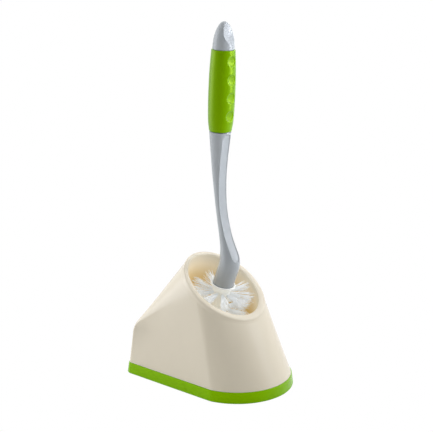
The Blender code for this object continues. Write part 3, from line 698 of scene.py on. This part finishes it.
def scoop_radius(centre, ahead, radius, angles, ball):
    """The cap's radii in one ring, cut back to a ball where that lies deeper, with a soft edge."""
    across = np.array((1.0, 0, 0))
    out = ahead[None] * np.cos(angles)[:, None] + across * np.sin(angles)[:, None]
    to_ball = ball - centre
    along = out @ to_ball
    reach = along ** 2 - (to_ball @ to_ball - CAP_SCOOP_RADIUS ** 2)
    hit = np.where((reach > 0) & (along > 0), along - np.sqrt(np.maximum(reach, 0)), 1.0)
    blend = np.clip(0.5 + 0.5 * (hit - radius) / CAP_SCOOP_EDGE, 0, 1)
    cut = hit * (1 - blend) + radius * blend - CAP_SCOOP_EDGE * blend * (1 - blend) / 2
    return np.maximum(cut, CAP_LEAST_RADIUS)


def cap():
    """Bullet-shaped cap with a plug below and one scooped facet, whose edge is soft."""
    angles = even_angles(128)
    neck = curve_through(GRIP_RADII, GRIP_TOP) - GRIP_WALL - GAP
    place, forward, tangent = line_frame(CORE_TOP)
    rings = []
    for z in (CORE_TOP - PLUG_LENGTH, CORE_TOP + GAP):
        rings.append(ring_about(place + tangent * (z - CORE_TOP), forward, PLUG_RADIUS, angles))
    rings.append(handle_ring(CORE_TOP + GAP, neck, angles))
    rings.append(handle_ring(GRIP_TOP + GAP, neck, angles))

    place, forward, tangent = line_frame(CAP_SCOOP_Z)
    facing = forward * math.cos(CAP_SCOOP_TILT) + tangent * math.sin(CAP_SCOOP_TILT)
    ball = place + forward * CAP_SCOOP_FORWARD + facing * CAP_SCOOP_RADIUS
    first = GRIP_TOP + GAP
    for t in np.sin(np.linspace(0, math.pi / 2, 130))[:-1]:
        z = first + (CAP_TOP - first) * t
        centre, ahead, _ = line_frame(z)
        radius = curve_through(CAP_RADII, z)
        if z < first + CAP_SEAM_HEIGHT:
            radius -= CAP_SEAM_INSET
        cut = scoop_radius(centre, ahead, radius, angles, ball)
        rings.append(ring_about(centre, ahead, cut, angles))
    return loft("cap", rings, sharp_angle=50)


# ------------------------------------------------------------------ brush head

def tuft_angle(row, column):
    """Rows are staggered by half a pitch."""
    return TUFT_START + 2 * math.pi * (column + 0.5 * (row % 2)) / TUFT_COLUMNS


def tuft_axes(row, column):
    along = TUFT_FIRST + TUFT_PITCH * row
    out = head_point(along, 1, tuft_angle(row, column)) - head_point(along)
    down = head_point(1) - head_point(0)
    return head_point(along), out, down, np.cross(out, down)


def hub_profile():
    """(along, radius) pairs of the core, from the bottom of its socket to near its tip."""
    socket_end = COLLAR_DEPTH + SPIGOT_LENGTH + GAP
    profile = [(socket_end, SPIGOT_RADIUS + GAP), (COLLAR_DEPTH, SPIGOT_RADIUS + GAP)]
    profile += [(along * MM, radius * MM) for along, radius in COLLAR_SEAT]
    for turn in np.linspace(0, math.pi, 10):
        profile.append((
            COLLAR_ROUND * (1 - math.sin(turn)), COLLAR_RIM - COLLAR_ROUND * math.cos(turn)))
    for along in np.linspace(COLLAR_FLARE_START, COLLAR_FLARE_END, 16):
        profile.append((along, curve_through(COLLAR_FLARE, along)))
    for along in np.linspace(HUB_START, HUB_LENGTH - HUB_TIP, 12):
        profile.append((along, HUB_RADIUS))
    for turn in np.linspace(0, math.pi / 2, 10)[1:-1]:
        profile.append((
            HUB_LENGTH - HUB_TIP * (1 - math.sin(turn)), HUB_RADIUS * math.cos(turn)))
    return profile


def hub():
    """White core with a flared collar, a socket for the stem and holes for the tufts."""
    angles = even_angles(AROUND)
    rings = [
        np.array([head_point(along, radius, a) for a in angles])
        for along, radius in hub_profile()]
    thing = loft("hub", rings, sharp_angle=40)
    cutters = []
    turn = even_angles(14)[:, None]
    for row in range(len(TUFT_REACHES)):
        for column in range(TUFT_COLUMNS):
            middle, out, down, side = tuft_axes(row, column)
            circle = (side * np.cos(turn) + down * np.sin(turn)) * TUFT_HOLE_RADIUS
            cutters.append(loft("hole", [middle + out * d + circle for d in TUFT_HOLE_ENDS]))
    for cutter in cutters[1:]:
        cutters[0].data = join_meshes(cutters[0].data, cutter.data)
        bpy.data.objects.remove(cutter, do_unlink=True)
    subtract(thing, cutters[:1])
    return thing


def join_meshes(first, second):
    bm = bmesh.new()
    bm.from_mesh(first)
    bm.from_mesh(second)
    mesh = bpy.data.meshes.new(first.name)
    bm.to_mesh(mesh)
    bm.free()
    return mesh


def tube_bundle(name, paths, radius):
    """One mesh of many thin tubes; paths is an array (filament, step, xyz)."""
    count, steps = paths.shape[:2]
    tangent = np.gradient(paths, axis=1)
    tangent /= np.linalg.norm(tangent, axis=2, keepdims=True)
    side = np.cross(tangent, OFF_AXIS)
    side /= np.linalg.norm(side, axis=2, keepdims=True)
    other = np.cross(tangent, side)
    turn = even_angles(FILAMENT_SIDES)[None, None, :, None]
    circle = side[:, :, None] * np.cos(turn) + other[:, :, None] * np.sin(turn)
    rings = paths[:, :, None] + radius * circle
    vertices = rings.reshape(-1, 3)
    faces = []
    for f in range(count):
        base = f * steps * FILAMENT_SIDES
        for s in range(steps - 1):
            row = base + s * FILAMENT_SIDES
            for i in range(FILAMENT_SIDES):
                j = (i + 1) % FILAMENT_SIDES
                above = row + FILAMENT_SIDES
                faces.append((row + i, row + j, above + j, above + i))
        faces.append(tuple(base + i for i in reversed(range(FILAMENT_SIDES))))
        last = base + (steps - 1) * FILAMENT_SIDES
        faces.append(tuple(last + i for i in range(FILAMENT_SIDES)))
    return add_mesh(name, vertices, faces, 50)


def tuft(row, column):
    """Nylon filaments that leave one hole side by side and spread to ragged tips."""
    rng = np.random.default_rng(100 + 20 * row + column)
    middle, out, down, side = tuft_axes(row, column)
    reach = TUFT_REACHES[row]
    turn = rng.uniform(0, 2 * math.pi, FILAMENTS)
    ring = np.sqrt(rng.uniform(0, 1, FILAMENTS))
    spread = TUFT_SPREAD * ring * rng.uniform(*TUFT_SPREAD_RANGE, FILAMENTS)
    wander = rng.normal(0, TUFT_WANDER, (FILAMENTS, 2))
    lean = rng.normal(0, TUFT_LEAN, 2)
    length = reach * rng.uniform(*TUFT_LENGTH_RANGE, FILAMENTS) - TUFT_ROOT
    length *= 1 - TUFT_DOME * ring ** 2
    bend = rng.normal(0, TUFT_BEND, (FILAMENTS, 2))
    root = (TUFT_HOLE_RADIUS - TUFT_ROOT_INSET) * ring
    paths = []
    for t in np.linspace(0, 1, FILAMENT_STEPS):
        opening = max(t - TUFT_STIFF_SHARE, 0) ** TUFT_CURL
        across = root + (spread - root) * opening
        sway = math.sin(math.pi * t)
        a = across * np.cos(turn) + (wander[:, 0] + lean[0]) * t ** 2 + bend[:, 0] * sway
        b = across * np.sin(turn) + (wander[:, 1] + lean[1]) * t ** 2 + bend[:, 1] * sway
        outwards = TUFT_ROOT + length * t
        paths.append(
            middle + out * outwards[:, None] + side * a[:, None] + down * b[:, None])
    name = f"bristles_{row + 1}_{column + 1}"
    return tube_bundle(name, np.stack(paths, axis=1), FILAMENT_RADIUS)


# ------------------------------------------------------------------ materials

CLOUD_SCALE = 40
CLOUD_TINT = 0.008
GLOSS_SCALE = 120
GLOSS_LEAST = 0.97
GLOSS_MOST = 1.04
GRAIN_DEPTH = 0.008 * MM
BORE_ROUGHNESS = 0.32
# Painted light in the bore: an emission glow, and a base colour that turns amber with depth.
BORE_GLOW = 0.22
BORE_AMBER_GLOW = 0.6
BORE_AMBER_DEPTH = 40 * MM


def new_material(name, colour, roughness):
    material = bpy.data.materials.new(name)
    material.use_nodes = True
    shader = material.node_tree.nodes["Principled BSDF"]
    shader.inputs["Base Color"].default_value = (*colour, 1)
    shader.inputs["Roughness"].default_value = roughness
    material.diffuse_color = (*colour, 1)
    return material, shader


def noise(material, scale, detail=2.0):
    nodes, links = material.node_tree.nodes, material.node_tree.links
    place = nodes.new("ShaderNodeTexCoord")
    texture = nodes.new("ShaderNodeTexNoise")
    texture.inputs["Scale"].default_value = scale
    texture.inputs["Detail"].default_value = detail
    links.new(place.outputs["Object"], texture.inputs["Vector"])
    return texture.outputs["Fac"]


def between(material, factor, low, high):
    """A colour or a value between two, by a factor from 0.3 to 0.7, the usual span of noise."""
    nodes, links = material.node_tree.nodes, material.node_tree.links
    if isinstance(low, tuple):
        ramp = nodes.new("ShaderNodeValToRGB")
        ramp.color_ramp.elements[0].position = 0.3
        ramp.color_ramp.elements[0].color = (*low, 1)
        ramp.color_ramp.elements[1].position = 0.7
        ramp.color_ramp.elements[1].color = (*high, 1)
        links.new(factor, ramp.inputs["Fac"])
        return ramp.outputs["Color"]
    span = nodes.new("ShaderNodeMapRange")
    for name, value in (("From Min", 0.3), ("From Max", 0.7), ("To Min", low), ("To Max", high)):
        span.inputs[name].default_value = value
    links.new(factor, span.inputs["Value"])
    return span.outputs["Result"]


def bump(material, shader, height, strength, distance):
    nodes, links = material.node_tree.nodes, material.node_tree.links
    node = nodes.new("ShaderNodeBump")
    node.inputs["Strength"].default_value = strength
    node.inputs["Distance"].default_value = distance
    links.new(height, node.inputs["Height"])
    links.new(node.outputs["Normal"], shader.inputs["Normal"])


def plastic(name, colour, roughness, grain=900):
    """Moulded plastic: faint cloudiness, uneven gloss and a fine moulded grain."""
    material, shader = new_material(name, colour, roughness)
    links = material.node_tree.links
    cloud = noise(material, CLOUD_SCALE)
    darker = tuple(c * (1 - CLOUD_TINT) for c in colour)
    lighter = tuple(min(c * (1 + CLOUD_TINT), 1) for c in colour)
    links.new(between(material, cloud, darker, lighter), shader.inputs["Base Color"])
    gloss = noise(material, GLOSS_SCALE, 3)
    low, high = roughness * GLOSS_LEAST, roughness * GLOSS_MOST
    links.new(between(material, gloss, low, high), shader.inputs["Roughness"])
    bump(material, shader, noise(material, grain, 3), 0.5, GRAIN_DEPTH)
    return material, shader


def painted_glow(shader, colour, strength):
    """Painted light: a faint emission glow on white nylon or plastic, standing in for light that
    shines through it.
    """
    shader.inputs["Emission Color"].default_value = (*colour, 1)
    shader.inputs["Emission Strength"].default_value = strength


def green_gloss(shader, level):
    shader.inputs["Specular IOR Level"].default_value = level
    shader.inputs["Specular Tint"].default_value = (0.7, 0.9, 0.0, 1)


def fill_ramp(ramp, stops):
    """Give a colour ramp its colours; stops are (position, colour) pairs from 0 to 1."""
    ramp.elements[0].color = (*stops[0][1], 1)
    ramp.elements[-1].color = (*stops[-1][1], 1)
    for position, colour in stops[1:-1]:
        ramp.elements.new(position).color = (*colour, 1)


def inside_cream(colour, amber):
    """The bore: cream at the mouth and amber further down. Painted light: the base colour turns
    amber with depth and the bore glows by emission, standing in for light that has passed the wall.
    """
    material, shader = plastic("cream_inside", colour, BORE_ROUGHNESS)
    nodes, links = material.node_tree.nodes, material.node_tree.links
    place = nodes.new("ShaderNodeTexCoord")
    split = nodes.new("ShaderNodeSeparateXYZ")
    slope = nodes.new("ShaderNodeMath")
    slope.operation = "MULTIPLY"
    slope.inputs[1].default_value = MOUTH_SLOPE
    depth = nodes.new("ShaderNodeMath")
    depth.operation = "SUBTRACT"
    span = nodes.new("ShaderNodeMapRange")
    mouth = mouth_height(0)
    span.inputs["From Min"].default_value = mouth
    span.inputs["From Max"].default_value = mouth - BORE_AMBER_DEPTH

    def scaled(tone, factor):
        return tuple(c * factor for c in tone)

    # Painted light: base colour from cream to amber with depth, and an emission glow that follows
    # the same depth.
    painted_amber = nodes.new("ShaderNodeValToRGB")
    fill_ramp(painted_amber.color_ramp, [(0, colour), (1, amber)])
    light = nodes.new("ShaderNodeValToRGB")
    fill_ramp(light.color_ramp, [
        (0, scaled(colour, BORE_GLOW / 2)), (0.3, scaled(colour, BORE_GLOW)),
        (1, scaled(amber, BORE_GLOW * BORE_AMBER_GLOW))])
    links.new(place.outputs["Object"], split.inputs["Vector"])
    links.new(split.outputs["Y"], slope.inputs[0])
    links.new(split.outputs["Z"], depth.inputs[0])
    links.new(slope.outputs["Value"], depth.inputs[1])
    links.new(depth.outputs["Value"], span.inputs["Value"])
    links.new(span.outputs["Result"], painted_amber.inputs["Fac"])
    links.new(span.outputs["Result"], light.inputs["Fac"])
    links.new(painted_amber.outputs["Color"], shader.inputs["Base Color"])
    links.new(light.outputs["Color"], shader.inputs["Emission Color"])
    shader.inputs["Emission Strength"].default_value = 1
    return material


# ------------------------------------------------------------------ stage

CAMERA_AZIMUTH = math.radians(-47)
CAMERA_TILT = math.radians(15.3)
CAMERA_PLACE = (-0.992, -0.9183, 0.5704)
CAMERA_LENS = 99.77
DAYLIGHT = (0.95, 0.98, 1.08)
ROOM_BRIGHT = 1.2
ROOM_DARK = 0.06
ROOM_FADE_START = -0.15
ROOM_FADE_END = 0.85
FLOOR_HALF_SIZE = 6


def camera():
    data = bpy.data.cameras.new("camera")
    data.sensor_fit = "HORIZONTAL"
    data.sensor_width = 36
    data.lens = CAMERA_LENS
    thing = bpy.data.objects.new("camera", data)
    thing.location = CAMERA_PLACE
    thing.rotation_euler = (math.pi / 2 - CAMERA_TILT, 0, CAMERA_AZIMUTH)
    bpy.context.scene.collection.objects.link(thing)
    bpy.context.scene.camera = thing


def softbox(name, turn, height, distance, size, power, aim=0.15, spread=180):
    """An area light, turned round the object from the picture's side, that aims at a height."""
    data = bpy.data.lights.new(name, "AREA")
    data.shape = "RECTANGLE"
    data.size, data.size_y = size
    data.energy = power
    data.color = DAYLIGHT
    data.spread = math.radians(spread)
    thing = bpy.data.objects.new(name, data)
    azimuth = CAMERA_AZIMUTH + math.radians(turn)
    thing.location = (distance * math.sin(azimuth), -distance * math.cos(azimuth), height)
    direction = Vector((0, 0, aim)) - thing.location
    thing.rotation_euler = direction.to_track_quat("-Z", "Y").to_euler()
    bpy.context.scene.collection.objects.link(thing)


def surroundings():
    """A white room that is darker on the side the picture is taken from."""
    world = bpy.data.worlds.new("room")
    bpy.context.scene.world = world
    world.use_nodes = True
    nodes, links = world.node_tree.nodes, world.node_tree.links
    background = nodes["Background"]
    place = nodes.new("ShaderNodeTexCoord")
    towards = nodes.new("ShaderNodeVectorMath")
    towards.operation = "DOT_PRODUCT"
    towards.inputs[1].default_value = (math.sin(CAMERA_AZIMUTH), -math.cos(CAMERA_AZIMUTH), 0)
    span = nodes.new("ShaderNodeMapRange")
    span.interpolation_type = "SMOOTHSTEP"
    span.inputs["From Min"].default_value = ROOM_FADE_START
    span.inputs["From Max"].default_value = ROOM_FADE_END
    span.inputs["To Min"].default_value = ROOM_BRIGHT
    span.inputs["To Max"].default_value = ROOM_DARK
    seen = nodes.new("ShaderNodeLightPath")
    pick = nodes.new("ShaderNodeMix")
    pick.data_type = "FLOAT"
    pick.inputs[3].default_value = 1.0
    links.new(place.outputs["Generated"], towards.inputs[0])
    links.new(towards.outputs["Value"], span.inputs["Value"])
    links.new(seen.outputs["Is Camera Ray"], pick.inputs[0])
    links.new(span.outputs["Result"], pick.inputs[2])
    links.new(pick.outputs[0], background.inputs["Strength"])
    background.inputs["Color"].default_value = (1, 1, 1, 1)


def floor():
    mesh = bpy.data.meshes.new("floor")
    bm = bmesh.new()
    bmesh.ops.create_grid(bm, x_segments=2, y_segments=2, size=FLOOR_HALF_SIZE)
    bm.to_mesh(mesh)
    bm.free()
    thing = bpy.data.objects.new("floor", mesh)
    bpy.context.scene.collection.objects.link(thing)
    material = bpy.data.materials.new("floor_white")
    material.use_nodes = True
    nodes, links = material.node_tree.nodes, material.node_tree.links
    nodes.clear()
    diffuse = nodes.new("ShaderNodeBsdfDiffuse")
    diffuse.inputs["Color"].default_value = (0.9, 0.9, 0.9, 1)
    white = nodes.new("ShaderNodeEmission")
    seen = nodes.new("ShaderNodeLightPath")
    pick = nodes.new("ShaderNodeMixShader")
    output = nodes.new("ShaderNodeOutputMaterial")
    links.new(seen.outputs["Is Camera Ray"], pick.inputs["Fac"])
    links.new(diffuse.outputs[0], pick.inputs[1])
    links.new(white.outputs[0], pick.inputs[2])
    links.new(pick.outputs[0], output.inputs["Surface"])
    mesh.materials.append(material)


# ------------------------------------------------------------------ assembly

def put(piece, body, slot, materials, *nodes):
    for material in materials:
        piece.data.materials.append(material)
    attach(piece, body)
    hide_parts(*nodes)


def build():
    cream, green = (0.79, 0.715, 0.565), (0.225, 0.51, 0.0)
    shell_plastic, _ = plastic("cream_plastic", cream, 0.17)
    bore_plastic = inside_cream(cream, (0.78, 0.54, 0.19))
    tray_plastic, tray_shader = plastic("green_plastic", green, 0.24)
    green_gloss(tray_shader, 0.6)
    grip_rubber, grip_shader = plastic("green_soft_grip", (0.155, 0.345, 0.0), 0.3, grain=1500)
    green_gloss(grip_shader, 0.8)
    grey_plastic, _ = plastic("grey_plastic", (0.405, 0.433, 0.447), 0.26)
    hub_plastic, hub_shader = plastic("white_plastic", (0.90, 0.91, 0.87), 0.3)
    # The hub and the nylon get a painted glow: emission that stands in for light shining through
    # them.
    painted_glow(hub_shader, (0.9, 0.91, 0.86), 0.16)
    nylon, nylon_shader = plastic("white_nylon", (0.89, 0.905, 0.91), 0.35, grain=3000)
    painted_glow(nylon_shader, (0.86, 0.92, 0.96), 0.12)
    rubber, _ = plastic("foot_rubber", (0.5, 0.5, 0.5), 0.8)

    put(shell(), "holder", "shell_cream", [shell_plastic, bore_plastic], "holder_shell")
    put(tray(), "holder", "tray_green", [tray_plastic], "base_tray")
    for node, pad in feet().items():
        put(pad, "holder", "foot_rubber", [rubber], node)
    put(stem(), "brush", "handle_grey", [grey_plastic], "handle_stem")
    put(grip(), "brush", "grip_green", [grip_rubber], "grip_sleeve")
    put(cap(), "brush", "handle_grey", [grey_plastic], "end_cap")
    put(hub(), "brush", "hub_white", [hub_plastic], "brush_hub")
    for row in range(len(TUFT_REACHES)):
        for column in range(TUFT_COLUMNS):
            node = f"tuft_{row + 1}_{column + 1}"
            put(tuft(row, column), "brush", "bristle_white", [nylon], node)


build()
camera()
surroundings()
floor()
softbox("right", turn=100, height=0.85, distance=1.0, size=(1.1, 1.0), power=3.2)
softbox("left", turn=-100, height=0.35, distance=1.2, size=(0.9, 1.0), power=4.4)
softbox("handle", turn=80, height=0.38, distance=0.32, size=(0.1, 0.3), power=0.12,
        aim=0.34, spread=60)
softbox("top", turn=30, height=1.0, distance=0.3, size=(0.5, 0.5), power=0.95)
bpy.context.scene.view_settings.view_transform = "Standard"
